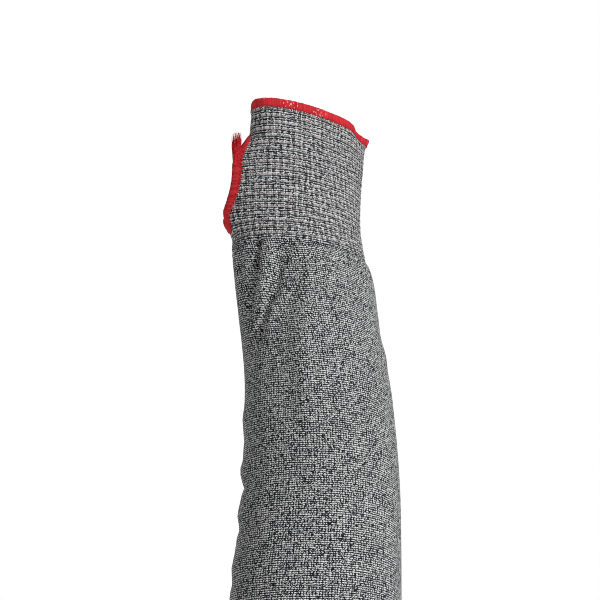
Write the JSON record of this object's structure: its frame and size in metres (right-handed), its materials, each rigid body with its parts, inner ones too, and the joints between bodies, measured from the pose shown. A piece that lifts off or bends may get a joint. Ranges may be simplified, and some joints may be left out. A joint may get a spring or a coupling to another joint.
{
  "type": "cut resistant sleeve",
  "caption": "Seamless knitted arm sleeve in its worn form, with a waffle knit palm cuff, a thumb slot and red overlocked edges.",
  "frame": {"origin": "inside the wrist, at the level where the palm cuff meets the arm tube", "axes": "+Z along the arm towards the fingers, -X the side of the thumb slot, -Y the side from which the back of the hand shows"},
  "size_m": [0.0997, 0.0936, 0.4569],
  "materials": {
    "waffle_knit": "salt and pepper yarn in a waffle rib",
    "marl_knit": "salt and pepper yarn in a plain knit",
    "red_overlock": "dense overlocked red thread"
  },
  "bodies": {
    "root": {"palm_cuff": "waffle_knit", "arm_tube": "marl_knit", "finger_edge_binding": "red_overlock", "thumb_slot_binding": "red_overlock"}
  },
  "joints": []
}
